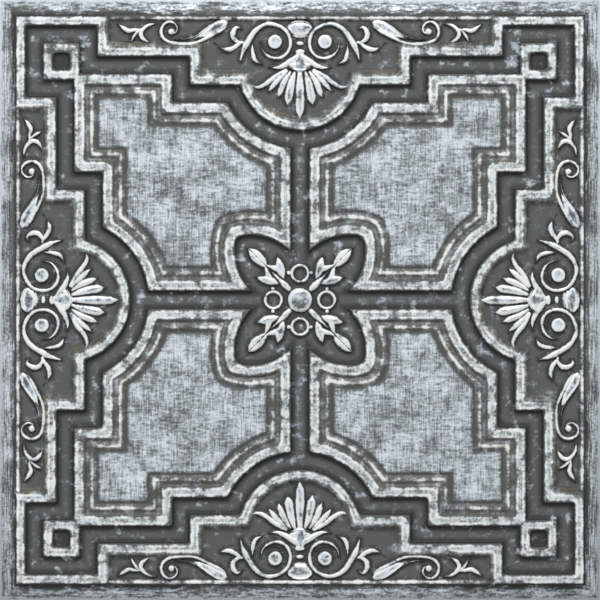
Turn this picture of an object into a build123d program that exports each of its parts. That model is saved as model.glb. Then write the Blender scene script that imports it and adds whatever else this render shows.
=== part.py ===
from build123d import *
from math import ceil, cos, degrees, hypot, radians, sin, sqrt
import os

# One square of embossed PVC sheet for a ceiling grid, lying face up. The origin is under the
# middle of its back, X and Y run along its edges and +Z is the side that faces the room.
# The pattern is the same under quarter turns and in a mirror. Each part of it is drawn once,
# on the +Y side or in the +X +Y quarter, and repeated round the centre. Sizes are millimetres.

# Sheet
tile_side = 603.0
sheet_thickness = 0.7
flange_width = 15.0

# Heights above the face of the flange
ground_height = 1.5
rim_height = 4.6
band_height = 6.5
groove_height = 4.0
bead_height = 5.4
valley_height = 3.6
panel_height = 4.6
ring_floor_height = 2.6
spike_height = 4.3
small_ring_height = 4.4
leaf_height = 5.0
dome_height = 6.2
spray_height = 3.6
volute_height = 4.1

# Walls, as the distance that each one leans in over its height
outer_wall_run = 2.1
channel_wall_run = 3.0
field_wall_run = 4.6
volute_wall_run = 1.0
spray_wall_run = 1.1
embed_depth = 0.5

# Bands and channels round the corner panels
corner_band_width = 8.0
field_band_width = 9.3
channel_width = 19.35
cross_channel_width = 20.1
shoulder_from_edge = 191.65
shoulder_drop = 28.6
lunette_rise = 16.0
lunette_radius = 61.3
lunette_band_width = 8.5
rim_crest_width = 2.4
rim_inner_run = 2.0

# Rings at the four corners
ring_side = 35.1
ring_hole_side = 19.0
ring_hole_run = 2.6
ring_corner_lap = 4.0

# Corner panels, stepping inwards from the edge of their band
petal_centre_along = 49.75
petal_centre_off = 7.85
petal_radius = 58.5
panel_band_width = 9.5
groove_wall_run = 2.5
groove_floor_width = 0.6
bead_wall_run = 3.4
bead_crest_width = 2.2
valley_wall_run = 3.6
panel_wall_run = 4.0

# Rosette in the middle of the tile
dome_radius = 12.5
dome_crown_radius = 6.5
small_ring_distance = 27.2
small_ring_crest_radius = 9.0
small_ring_hole_radius = 7.4
small_ring_wall_run = 1.2
leaf_wall_run = 2.0
spike_wall_run = 1.1

# Small round forms have flat facets of about this turn in degrees, within 0.5 mm of the true round
facet_turn = 28

# Leaves, each with its two tips and the rises of its two arcs, to the right of the way between the tips.
# The palmette is placed from the lunette's centre and the blade from the field's end.
rosette_leaves = [
    ((32.0, 32.0), (51.3, 51.3), 7.0, -7.0),
    ((22.5, 17.0), (45.6, 23.8), 5.4, -3.4),
    ((17.0, 22.5), (23.8, 45.6), 3.4, -5.4),
]
rosette_spike = ((12.0, 12.0), (30.8, 30.8), 3.6, -3.6)
palmette_middle = ((0, -7.5), (0, -54.5), 4.2, -4.2)
palmette_sides = [
    ((6.2, -9.5), (12.6, -40.0), 1.4, -4.2),
    ((13.2, -4.0), (48.2, -18.0), 5.8, 1.6),
]
curled_leaf_blade = ((-59.9, 5.6), (-118.0, 22.4), -4.0, -10.6)

# Cap and bell on the middle line of an ornament field, from the lunette's centre
cap_wing = (12.2, 42.8)
cap_hollow = (4.6, 36.8)
cap_top = 48.2
cap_foot = 30.2
bell_shoulder = (3.4, 18.6)
bell_waist = (11.4, 6.6)
bell_wing = (30.6, 0.6)
bell_foot = -3.6

# Volute beside the bell, from the lunette's centre, as arcs of a scroll that run on from each other
volute_centre = (29.7, 23.2)
volute_radii = [21.8, 16.9, 13.7]
volute_angles = [4, 123, 255, 366]
volute_widths = [4.6, 3.8, 3.5, 2.5]
button_centre = (25.1, 26.6)
button_radius = 7.3

# Curled leaf near the end of an ornament field, from the inner corner of that end
curl_centre = (-62.0, 15.2)
curl_radius = 9.2
curl_angles = [165, 415]
curl_widths = [2.6, 3.4]

# Lines that the sizes above set, measured from the middle of the tile
half_side = tile_side / 2
shoulder_half_width = half_side - shoulder_from_edge
foot_line = half_side - flange_width
block_line = foot_line - outer_wall_run
channel_line = block_line - corner_band_width
ring_line = channel_line - channel_width
ring_centre = ring_line - ring_side / 2
panel_line = ring_line - ring_side + ring_corner_lap
field_line = panel_line + channel_width
field_end = ring_line - ring_side - channel_width
shoulder_line = field_line - shoulder_drop
lunette_centre = shoulder_line + lunette_rise
panel_shoulder_line = shoulder_line - channel_width
panel_shoulder_end = shoulder_half_width + channel_width
panel_lunette_radius = lunette_radius + cross_channel_width
flange_face = sheet_thickness
quarter_turns = [Rot(0, 0, turn) for turn in range(0, 360, 90)]

# Spare size of the solid that the sheet is cut from, beyond the sheet's edges and under it
margin = 40.0


def level(height):
    """Height of a level above the flange's face, measured from the resting plane."""
    return flange_face + height


def drafted(low_outline, low, high_outline, high):
    """Solid with straight walls from one outline up to another of the same shape."""
    return loft([Pos(0, 0, low) * low_outline, Pos(0, 0, high) * high_outline], ruled=True)


def raised(outline, inset, top, foot, run):
    """Solid with its crest at an inset of the outline, and walls that spread by run down to foot.

    The walls go on below foot, so that it merges with the ground it stands on.
    """
    drop = top - foot + embed_depth
    return drafted(outline(inset - run * drop / (top - foot)), top - drop, outline(inset), top)


def sunk(outline, inset, top, floor, run):
    """Cutter with its mouth at an inset of the outline, and walls that close by run down to floor."""
    return drafted(outline(inset + run), floor, outline(inset), top)


def circle(radius):
    """Outlines of a round form, as a function of the inset from its radius."""
    return lambda inset: Circle(radius - inset)


def faceted_circle(radius):
    """Outlines of a small round form with flat facets, as a function of the inset."""
    return lambda inset: RegularPolygon(radius - inset, 2 * round(180 / facet_turn))


def square(centre, side):
    """Outlines of a square on the diagonal, as a function of the inset from its side."""
    return lambda inset: Pos(centre, centre) * Rectangle(side - 2 * inset, side - 2 * inset)


def arc_between(start, end, centre, radius):
    """Shorter arc from start to end about centre."""
    middle_x = (start[0] + end[0]) / 2 - centre[0]
    middle_y = (start[1] + end[1]) / 2 - centre[1]
    reach = radius / hypot(middle_x, middle_y)
    middle = (centre[0] + middle_x * reach, centre[1] + middle_y * reach)
    return ThreePointArc(start, middle, end)


def channel_outline(inset):
    """Edge of the channels along the corner blocks, all the way round the tile, moved in by inset."""
    radius = lunette_radius + inset
    shoulder = shoulder_line - inset
    arc_end = (sqrt(radius**2 - (lunette_centre - shoulder) ** 2), shoulder)
    arc_start = (-arc_end[0], shoulder)
    arc_top = (0, lunette_centre - radius)
    corners = [
        arc_end,
        (shoulder_half_width + inset, shoulder),
        (shoulder_half_width + inset, field_line - inset),
        (field_end + inset, field_line - inset),
        (field_end + inset, channel_line - inset),
        (channel_line - inset, channel_line - inset),
    ]
    half = Polyline(*corners).edges()
    side = [ThreePointArc(arc_end, arc_top, arc_start), *half, *[mirror(edge, Plane.YZ) for edge in half]]
    return make_face([edge.rotate(Axis.Z, turn) for turn in range(0, 360, 90) for edge in side])


def field_outline(inset):
    """Edge of the ornament field at the top of its wall, moved in by inset.

    It runs out over the flange.
    """
    end = field_end - field_band_width - inset
    line = field_line + field_band_width + inset
    shoulder_end = shoulder_half_width - field_band_width - inset
    shoulder = shoulder_line + field_band_width + inset
    radius = lunette_radius - lunette_band_width - inset
    arc_end = (sqrt(radius**2 - (lunette_centre - shoulder) ** 2), shoulder)
    arc_start = (-arc_end[0], shoulder)
    outer = half_side + margin
    corners = [
        arc_end,
        (shoulder_end, shoulder),
        (shoulder_end, line),
        (end, line),
        (end, outer),
    ]
    half = Polyline(*corners).edges()
    arc = ThreePointArc(arc_start, (0, lunette_centre - radius), arc_end)
    outer_edge = Line(corners[-1], (-corners[-1][0], outer))
    return make_face([arc, *half, outer_edge, *[mirror(edge, Plane.YZ) for edge in half]])


def panel_outline(inset):
    """Edge of a corner panel, moved in by inset from the edge of its band."""
    edge = cross_channel_width / 2 + inset
    line = panel_line - inset
    shoulder_end = panel_shoulder_end + inset
    shoulder = panel_shoulder_line - inset
    arc_radius = panel_lunette_radius + inset
    arc_end = sqrt(arc_radius**2 - (lunette_centre - shoulder) ** 2)
    arc_foot = lunette_centre - sqrt(arc_radius**2 - edge**2)
    petal = petal_radius + inset
    petal_end = petal_centre_off + sqrt(petal**2 - (petal_centre_along - edge) ** 2)
    reach = petal_centre_along + petal_centre_off
    offset_square = petal_centre_along**2 + petal_centre_off**2 - petal**2
    point = (reach + sqrt(reach**2 - 2 * offset_square)) / 2
    half = [
        Line((line, line), (shoulder_end, line)),
        Line((shoulder_end, line), (shoulder_end, shoulder)),
        Line((shoulder_end, shoulder), (arc_end, shoulder)),
        arc_between((arc_end, shoulder), (edge, arc_foot), (0, lunette_centre), arc_radius),
        Line((edge, arc_foot), (edge, petal_end)),
        arc_between((edge, petal_end), (point, point), (petal_centre_along, petal_centre_off), petal),
    ]
    diagonal = Plane((0, 0, 0), x_dir=(0, 0, 1), z_dir=(1, -1, 0))
    return make_face(half + [mirror(edge_line, diagonal) for edge_line in half])


def corner_panel():
    """Panel with its band, groove, bead, valley and field, in steps from the edge inwards."""
    band = raised(panel_outline, 0, level(band_height), level(ground_height), channel_wall_run)
    inset = panel_band_width
    solid = band - sunk(panel_outline, inset, level(band_height), level(groove_height), groove_wall_run)
    inset += groove_wall_run + groove_floor_width + bead_wall_run
    solid += raised(panel_outline, inset, level(bead_height), level(groove_height), bead_wall_run)
    inset += bead_crest_width
    solid -= sunk(panel_outline, inset, level(bead_height), level(valley_height), valley_wall_run)
    return solid + panel_field()


def panel_field():
    """Low field inside the valley of a corner panel."""
    inset = panel_band_width + groove_wall_run + groove_floor_width + bead_wall_run + bead_crest_width
    inset += valley_wall_run + panel_wall_run
    return raised(panel_outline, inset, level(panel_height), level(valley_height), panel_wall_run)


def panel_back():
    """Steps of a corner panel that show on the sheet's back, where groove and bead are one valley."""
    band = raised(panel_outline, 0, level(band_height), level(ground_height), channel_wall_run)
    run = groove_wall_run * (band_height - valley_height) / (band_height - groove_height)
    valley = sunk(panel_outline, panel_band_width, level(band_height), level(valley_height), run)
    return band - valley + panel_field()


def corner_ring():
    """Square ring beyond the corner of a panel, and the cutter for the square inside it."""
    top = level(band_height)
    ring = raised(square(ring_centre, ring_side), 0, top, level(ground_height), channel_wall_run)
    hole = sunk(square(ring_centre, ring_hole_side), 0, top, level(ring_floor_height), ring_hole_run)
    return ring, hole


def rim():
    """Low ridge between the flange and the ornament field."""
    wall_lean = outer_wall_run / band_height
    crest_outer = foot_line - wall_lean * rim_height
    crest_inner = crest_outer - rim_crest_width
    section = Polyline(
        (foot_line, -margin),
        (foot_line, flange_face),
        (crest_outer, level(rim_height)),
        (crest_inner, level(rim_height)),
        (crest_inner - rim_inner_run, level(ground_height)),
        (crest_inner - rim_inner_run, -margin),
        close=True,
    )
    length = field_end - field_band_width / 2
    return extrude(Plane.YZ * make_face(section), length, both=True)


def leaf(start, end, outer_rise, inner_rise):
    """Outline between two tips, as two arcs. A rise is to the right of the way from start to end."""
    along = Vector(*end) - Vector(*start)
    right = Vector(along.Y, -along.X).normalized()
    middle = (Vector(*start) + Vector(*end)) / 2
    outer = ThreePointArc(start, middle + right * outer_rise, end)
    inner = ThreePointArc(end, middle + right * inner_rise, start)
    return make_face([outer, inner])


def on_ground(outline, height, run):
    """Solid that stands on the ground with its foot at the outline."""
    crest = offset(outline, -run, kind=Kind.INTERSECTION)
    return drafted(outline, level(ground_height) - embed_depth, crest, level(height))


def scroll(centre, radii, angles, widths):
    """Outlines of a faceted band along arcs that run on from each other, as a function of the inset.

    There is one radius for each arc, and an angle and a width for each of their ends.
    """
    stations = []
    for number, radius in enumerate(radii):
        if number > 0:
            shift = radii[number - 1] - radius
            turn = radians(angles[number])
            centre = (centre[0] + shift * cos(turn), centre[1] + shift * sin(turn))
        sweep = angles[number + 1] - angles[number]
        growth = widths[number + 1] - widths[number]
        count = ceil(sweep / facet_turn)
        for step in range(min(number, 1), count + 1):
            share = step / count
            stations.append((centre, radius, angles[number] + sweep * share, widths[number] + growth * share))

    def outline(inset):
        """Edge of the band, moved in by inset."""
        sides = {1: [], -1: []}
        for place, radius, angle, width in stations:
            if angle == angles[0]:
                angle += degrees(inset / radius)
            if angle == angles[-1]:
                angle -= degrees(inset / radius)
            x, y = cos(radians(angle)), sin(radians(angle))
            for sign, points in sides.items():
                reach = radius + sign * (width / 2 - inset)
                points.append((place[0] + reach * x, place[1] + reach * y))
        return make_face(Polyline(*sides[1], *reversed(sides[-1]), close=True))

    return outline


def both_sides(solids):
    """The solids and their mirror images across the middle of the field."""
    return [*solids, *[mirror(solid, Plane.YZ) for solid in solids]]


def volute():
    """Scroll beside the bell, with the button inside it. Places are from the lunette's centre."""
    top, base = level(volute_height), level(ground_height)
    band = scroll(volute_centre, volute_radii, volute_angles, volute_widths)
    button = raised(faceted_circle(button_radius), volute_wall_run, top, base, volute_wall_run)
    return [raised(band, volute_wall_run, top, base, volute_wall_run), Pos(*button_centre) * button]


def mirrored(place):
    """The same place on the other side of the field's middle line."""
    return (-place[0], place[1])


def cap_and_bell():
    """Cap and bell on the middle line. Places are from the lunette's centre."""
    cap = make_face(
        [
            ThreePointArc(mirrored(cap_wing), (0, cap_top), cap_wing),
            ThreePointArc(cap_wing, cap_hollow, (0, cap_foot)),
            ThreePointArc((0, cap_foot), mirrored(cap_hollow), mirrored(cap_wing)),
        ]
    )
    bell = make_face(
        [
            ThreePointArc(mirrored(bell_wing), mirrored(bell_waist), mirrored(bell_shoulder)),
            Line(mirrored(bell_shoulder), bell_shoulder),
            ThreePointArc(bell_shoulder, bell_waist, bell_wing),
            ThreePointArc(bell_wing, (0, bell_foot), mirrored(bell_wing)),
        ]
    )
    return [on_ground(outline, spray_height, spray_wall_run) for outline in (cap, bell)]


def palmette():
    """Leaves that fan out under the bell. Places are from the lunette's centre."""
    sides = [on_ground(leaf(*shape), spray_height, spray_wall_run) for shape in palmette_sides]
    return [on_ground(leaf(*palmette_middle), spray_height, spray_wall_run), *both_sides(sides)]


def curled_leaf():
    """Blade and curl near the end of a field. Places are from the inner corner of the field's end."""
    curl = scroll(curl_centre, [curl_radius], curl_angles, curl_widths)
    return [
        raised(curl, spray_wall_run, level(spray_height), level(ground_height), spray_wall_run),
        on_ground(leaf(*curled_leaf_blade), spray_height, spray_wall_run),
    ]


def ornament():
    """All the raised pieces of one ornament field."""
    place = Pos(0, lunette_centre)
    end_place = Pos(field_end - field_band_width, field_line + field_band_width)
    middle = [place * solid for solid in [*both_sides(volute()), *cap_and_bell(), *palmette()]]
    return middle + both_sides([end_place * solid for solid in curled_leaf()])


def rosette():
    """Dome, small rings, leaves and spikes in the middle of the tile."""
    base, ring_top = level(ground_height), level(small_ring_height)
    dome = raised(circle(dome_crown_radius), 0, level(dome_height), base, dome_radius - dome_crown_radius)
    ring = raised(faceted_circle(small_ring_crest_radius), 0, ring_top, base, small_ring_wall_run)
    hole = sunk(faceted_circle(small_ring_hole_radius), 0, ring_top, base, small_ring_wall_run)
    small_ring = Pos(0, small_ring_distance) * (ring - hole)
    leaves = [on_ground(leaf(*shape), leaf_height, leaf_wall_run) for shape in rosette_leaves]
    spike = on_ground(leaf(*rosette_spike), spike_height, spike_wall_run)
    return [dome] + [quarter * solid for quarter in quarter_turns for solid in [small_ring, *leaves, spike]]


def relief_steps(panel):
    """Bands, panels, rings and rims over the ground, as the solid under a face of the sheet."""
    reach = 2 * (half_side + margin)
    slab = Pos(0, 0, flange_face - margin / 2) * Box(reach, reach, margin)
    block = raised(square(0, 2 * block_line), 0, level(band_height), flange_face, outer_wall_run)
    field = sunk(field_outline, 0, level(band_height), level(ground_height), field_wall_run)
    solid = slab + block
    solid -= sunk(channel_outline, 0, level(band_height), level(ground_height), channel_wall_run)
    solid -= [quarter * field for quarter in quarter_turns]
    ring, ring_hole = corner_ring()
    solid += [quarter * panel for quarter in quarter_turns]
    solid += [quarter * ring for quarter in quarter_turns]
    solid -= [quarter * ring_hole for quarter in quarter_turns]
    return solid + [quarter * rim() for quarter in quarter_turns]


def tile_sheet():
    """Sheet between its decorated face and the plainer steps of its back."""
    spray = [quarter * solid for quarter in quarter_turns for solid in ornament()]
    face = relief_steps(corner_panel()) + rosette() + spray
    sheet = face - Pos(0, 0, -sheet_thickness) * relief_steps(panel_back())
    trim = Pos(0, 0, band_height) * Box(tile_side, tile_side, 4 * band_height)
    return sheet & trim


if __name__ == "__main__":
    os.makedirs("parts", exist_ok=True)
    export_step(tile_sheet(), "parts/tile_sheet.step")
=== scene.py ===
"""Looks of one embossed PVC ceiling tile that lies face up on a pale floor.

The pattern is the same under quarter turns and in a mirror, so the sheet is drawn as one wedge, an eighth
of the square between the +Y axis and the diagonal towards +X +Y, and the press repeats it eight times.
Sizes are millimetres from the middle of the tile, unless a line says otherwise.
"""

from __future__ import annotations

import logging
import math
from collections.abc import Callable
from dataclasses import dataclass, field, replace
from enum import Enum
from functools import cached_property
from itertools import pairwise

import bmesh
import bpy
import numpy as np
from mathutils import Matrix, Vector
from mathutils.geometry import delaunay_2d_cdt


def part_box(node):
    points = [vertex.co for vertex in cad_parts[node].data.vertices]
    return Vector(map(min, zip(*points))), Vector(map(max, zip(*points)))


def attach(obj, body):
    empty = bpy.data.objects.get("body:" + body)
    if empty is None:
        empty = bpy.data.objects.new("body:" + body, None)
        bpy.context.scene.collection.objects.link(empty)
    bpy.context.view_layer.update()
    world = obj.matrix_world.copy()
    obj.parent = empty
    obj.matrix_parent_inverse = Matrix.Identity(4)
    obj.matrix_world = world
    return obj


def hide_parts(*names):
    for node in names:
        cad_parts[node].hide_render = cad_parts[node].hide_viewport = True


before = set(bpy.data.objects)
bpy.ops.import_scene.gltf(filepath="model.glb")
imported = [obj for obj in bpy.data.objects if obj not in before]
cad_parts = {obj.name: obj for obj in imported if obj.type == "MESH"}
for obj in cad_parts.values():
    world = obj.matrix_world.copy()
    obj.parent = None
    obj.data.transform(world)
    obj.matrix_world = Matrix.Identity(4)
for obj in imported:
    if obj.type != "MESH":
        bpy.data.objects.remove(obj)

log = logging.getLogger("ceiling_tile")

Point = tuple[float, float]
Colour = tuple[float, float, float]

# Metres in a millimetre, and millimetres in a metre
MM = 0.001
PER_METRE = 1000.0
# Gap that stands for any place away from the ornament
FAR = 20.0
# Distance within which two places count as one
CLOSE = 1e-3
# Largest turn between two points of an arc
LARGEST_TURN = math.radians(24)
# Rounds of Newton's method that find where two lines meet
NEWTON_ROUNDS = 20


class Side(Enum):
    """Side of the sheet that a blank is meshed for."""

    FACE = "face"
    BACK = "back"


@dataclass(frozen=True)
class Fineness:
    """How closely the mesh follows the relief.

    Lines run at shares of each wall's run and of each ridge's half-width, and beside the ornament at the
    distances of the halo. The spacings are the largest steps along round walls and along the ornament.
    """

    wall_shares: tuple[float, ...]
    ridge_shares: tuple[float, ...]
    halo: tuple[float, ...]
    arc_spacing: float
    ridge_spacing: float


FINENESS = {
    Side.FACE: Fineness(
        wall_shares=(-0.16, 0.08, 0.3, 0.5, 0.7, 0.92, 1.16),
        ridge_shares=(-1.0, -0.75, 0.0, 0.75, 1.0),
        halo=(1.6, 4.4),
        arc_spacing=3.5,
        ridge_spacing=2.2,
    ),
    Side.BACK: Fineness(
        wall_shares=(0.0, 0.5, 1.0),
        ridge_shares=(-1.0, 0.0, 1.0),
        halo=(),
        arc_spacing=8.0,
        ridge_spacing=6.0,
    ),
}


class Value:
    """One output socket of a node tree, with Python's operators as Math nodes."""

    def __init__(self, bench: Bench, socket: bpy.types.NodeSocket) -> None:
        """Keeps the socket and the bench that adds nodes beside it."""
        self.bench = bench
        self.socket = socket

    def __add__(self, other: Number) -> Value:
        """Sum of two values."""
        return self.bench.maths("ADD", self, other)

    __radd__ = __add__

    def __sub__(self, other: Number) -> Value:
        """Difference of two values."""
        return self.bench.maths("SUBTRACT", self, other)

    def __rsub__(self, other: Number) -> Value:
        """Difference from a plain number."""
        return self.bench.maths("SUBTRACT", other, self)

    def __mul__(self, other: Number) -> Value:
        """Product of two values."""
        return self.bench.maths("MULTIPLY", self, other)

    __rmul__ = __mul__

    def __neg__(self) -> Value:
        """The value with its sign changed."""
        return self.bench.maths("MULTIPLY", self, -1.0)

    def __abs__(self) -> Value:
        """The value without its sign."""
        return self.bench.maths("ABSOLUTE", self)


Number = Value | float


class Bench:
    """Adds nodes to one geometry or shader tree."""

    def __init__(self, tree: bpy.types.NodeTree) -> None:
        """Keeps the tree that the nodes go into."""
        self.tree = tree

    def node(self, kind: str, sockets: dict | None = None, settings: dict | None = None) -> bpy.types.Node:
        """Adds a node of any type.

        Args:
            kind: the node's type name.
            sockets: values or links of its inputs, by place, identifier or name.
            settings: what is set on the node itself, before its sockets.

        Returns:
            The new node.
        """
        node = self.tree.nodes.new(kind)
        for name, setting in (settings or {}).items():
            setattr(node, name, setting)
        for key, given in (sockets or {}).items():
            socket = self.find(node.inputs, key)
            for one in given if isinstance(given, list) else [given]:
                if isinstance(one, Value):
                    self.tree.links.new(one.socket, socket)
                else:
                    socket.default_value = one
        return node

    @staticmethod
    def find(sockets: bpy.types.bpy_prop_collection, key: int | str) -> bpy.types.NodeSocket:
        """Finds one of a node's inputs or outputs.

        Args:
            sockets: the inputs or outputs.
            key: the socket's place, identifier or name.

        Returns:
            The socket.
        """
        exact = [socket for socket in sockets if socket.identifier == key]
        return exact[0] if exact else sockets[key]

    def out(self, node: bpy.types.Node, key: int | str = 0) -> Value:
        """Wraps a node's output, given by its place, identifier or name."""
        return Value(self, self.find(node.outputs, key))

    def value(self, kind: str, sockets: dict | None = None, settings: dict | None = None,
              key: int | str = 0) -> Value:
        """Adds a node and wraps its output.

        Args:
            kind: the node's type name.
            sockets: values or links of its inputs.
            settings: what is set on the node itself.
            key: the output's place, identifier or name.

        Returns:
            The wrapped output.
        """
        return self.out(self.node(kind, sockets, settings), key)

    def flat_place(self, place: Value) -> tuple[Value, Value]:
        """Splits a place into its X and Y, in millimetres."""
        parts = self.node("ShaderNodeSeparateXYZ", {0: place})
        return self.out(parts, 0) * PER_METRE, self.out(parts, 1) * PER_METRE

    def maths(self, operation: str, *numbers: Number) -> Value:
        """Adds a Math node.

        Args:
            operation: the node's operation.
            numbers: its inputs, in order.

        Returns:
            The result.
        """
        return self.value("ShaderNodeMath", dict(enumerate(numbers)), {"operation": operation})

    def lowest(self, first: Number, *others: Number) -> Number:
        """Smallest of some values."""
        for other in others:
            first = self.maths("MINIMUM", first, other)
        return first

    def highest(self, first: Number, *others: Number) -> Number:
        """Largest of some values."""
        for other in others:
            first = self.maths("MAXIMUM", first, other)
        return first

    def length(self, across: Number, along: Number) -> Value:
        """Length of a flat vector."""
        return self.maths("SQRT", across * across + along * along)

    def step(self, value: Number, start: float, end: float, low: float = 0.0, high: float = 1.0) -> Value:
        """Rises smoothly from one level to another.

        Args:
            value: what the step depends on.
            start: value where it leaves the low level.
            end: value where it reaches the high level.
            low: level before the start.
            high: level after the end.

        Returns:
            The level.
        """
        sockets = dict(enumerate([value, start, end, low, high]))
        return self.value("ShaderNodeMapRange", sockets, {"interpolation_type": "SMOOTHSTEP"})

    def blend(self, share: Number, low: Number, high: Number) -> Value:
        """Value between two others, at a share from 0 to 1."""
        return low + share * (high - low)

    def soft_lowest(self, first: Number, second: Number, softness: float) -> Value:
        """Smaller of two insets, with the same rounding of their corner at every inset."""
        return self.maths("SMOOTH_MIN", first, second, softness)

    def soft_highest(self, first: Number, second: Number, softness: float) -> Value:
        """Larger of two insets, with the same rounding of their corner at every inset."""
        return -self.soft_lowest(-first, -second, softness)


@dataclass(frozen=True)
class Straight:
    """Straight stretch of an outline. Insets grow along its normal."""

    normal: Point
    reach: float

    def inset(self, x: Number, y: Number, length: Callable = math.hypot) -> Number:
        """Distance of a point from the stretch, positive inside."""
        across, up = self.normal
        along = x * across if up == 0 else y * up
        return along - self.reach

    def direction(self, x: float, y: float) -> Point:
        """Unit vector along which insets grow."""
        return self.normal

    def between(self, start: Point, end: Point, spacing: float) -> list[Point]:
        """Points between two ends of the stretch, which a straight one doesn't need."""
        return []


@dataclass(frozen=True)
class Round:
    """Round stretch of an outline. Insets grow away from its centre, or towards it."""

    centre: Point
    radius: float
    outward: bool = True

    def inset(self, x: Number, y: Number, length: Callable = math.hypot) -> Number:
        """Distance of a point from the stretch, positive inside."""
        away = length(x - self.centre[0], y - self.centre[1]) - self.radius
        return away if self.outward else -away

    def direction(self, x: float, y: float) -> Point:
        """Unit vector along which insets grow."""
        across, up = x - self.centre[0], y - self.centre[1]
        away = math.hypot(across, up) * (1 if self.outward else -1)
        return across / away, up / away

    def between(self, start: Point, end: Point, spacing: float) -> list[Point]:
        """Points between two ends of the stretch, a spacing apart."""
        return around(self.centre, start, end, spacing)


def around(centre: Point, start: Point, end: Point, spacing: float) -> list[Point]:
    """Points between two ends of an arc, the short way round its centre.

    Args:
        centre: centre of the arc.
        start: first end, left out.
        end: last end, left out.
        spacing: largest step between points.

    Returns:
        The points between.
    """
    first = math.atan2(start[1] - centre[1], start[0] - centre[0])
    last = math.atan2(end[1] - centre[1], end[0] - centre[0])
    turn = (last - first + math.pi) % math.tau - math.pi
    radius = math.dist(centre, start)
    count = max(1, math.ceil(abs(turn) * radius / spacing), math.ceil(abs(turn) / LARGEST_TURN))
    angles = [first + turn * step / count for step in range(1, count)]
    return [(centre[0] + radius * math.cos(angle), centre[1] + radius * math.sin(angle)) for angle in angles]


Stretch = Straight | Round


def meeting(first: Stretch, second: Stretch, insets: Point, near: Point) -> Point:
    """Point at one inset from a stretch and at another from the next, by Newton's method.

    Args:
        first: first stretch.
        second: second stretch.
        insets: inset from each.
        near: where the search starts.

    Returns:
        The point.
    """
    x, y = near
    for _ in range(NEWTON_ROUNDS):
        first_x, first_y = first.direction(x, y)
        second_x, second_y = second.direction(x, y)
        first_gap = insets[0] - first.inset(x, y)
        second_gap = insets[1] - second.inset(x, y)
        turn = first_x * second_y - first_y * second_x
        x += (first_gap * second_y - second_gap * first_y) / turn
        y += (second_gap * first_x - first_gap * second_x) / turn
    return x, y


@dataclass(frozen=True)
class Corner:
    """Corner between two stretches of an outline, with the same rounding at every inset."""

    near: Point
    softness: float
    hollow: bool = False
    steps: int = 6

    def points(self, first: Stretch, second: Stretch, inset: float) -> list[Point]:
        """Points round the corner, where a soft minimum or maximum of the two insets is the same.

        Args:
            first: stretch before the corner.
            second: stretch after it.
            inset: distance inside the outline.

        Returns:
            The points.
        """
        sign = -1 if self.hollow else 1
        points = []
        # The cut is the cubic one of the Math node's smooth minimum
        for step in range(self.steps + 1):
            lead = self.softness * (2 * step / self.steps - 1)
            cut = (self.softness - abs(lead)) ** 3 / (6 * self.softness**2)
            first_inset = inset + sign * (cut + max(lead, 0.0))
            second_inset = inset + sign * (cut + max(-lead, 0.0))
            points.append(meeting(first, second, (first_inset, second_inset), self.near))
        return points


@dataclass(frozen=True)
class Outline:
    """Chain of stretches, drawn across the wedge and a little past its sides."""

    start: Point
    end: Point
    stretches: tuple[Stretch, ...]
    corners: tuple[Corner, ...]

    def path(self, inset: float, spacing: float) -> list[Point]:
        """Line at one distance inside the outline.

        Args:
            inset: the distance, negative outside.
            spacing: largest step along round stretches.

        Returns:
            Its points.
        """
        points = [self.foot(self.stretches[0], self.start, inset)]
        for (first, second), corner in zip(pairwise(self.stretches), self.corners, strict=True):
            turn = corner.points(first, second, inset)
            points += first.between(points[-1], turn[0], spacing) + turn
        end = self.foot(self.stretches[-1], self.end, inset)
        return points + self.stretches[-1].between(points[-1], end, spacing) + [end]

    @staticmethod
    def foot(stretch: Stretch, near: Point, inset: float) -> Point:
        """Point of a stretch's line at an inset that is closest to another point."""
        gap = inset - stretch.inset(*near)
        across, up = stretch.direction(*near)
        return near[0] + gap * across, near[1] + gap * up


@dataclass(frozen=True)
class Wall:
    """Sloped stretch of the relief, from one inset over a run, rising or falling by a height."""

    start: float
    run: float
    rise: float

    def level(self, bench: Bench, inset: Number) -> Value:
        """Height that the wall adds at an inset."""
        return bench.step(inset, self.start, self.start + self.run, 0.0, self.rise)

    def lines(self, shares: tuple[float, ...]) -> list[float]:
        """Insets at which the mesh has lines across the wall."""
        return [self.start + share * self.run for share in shares]


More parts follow.
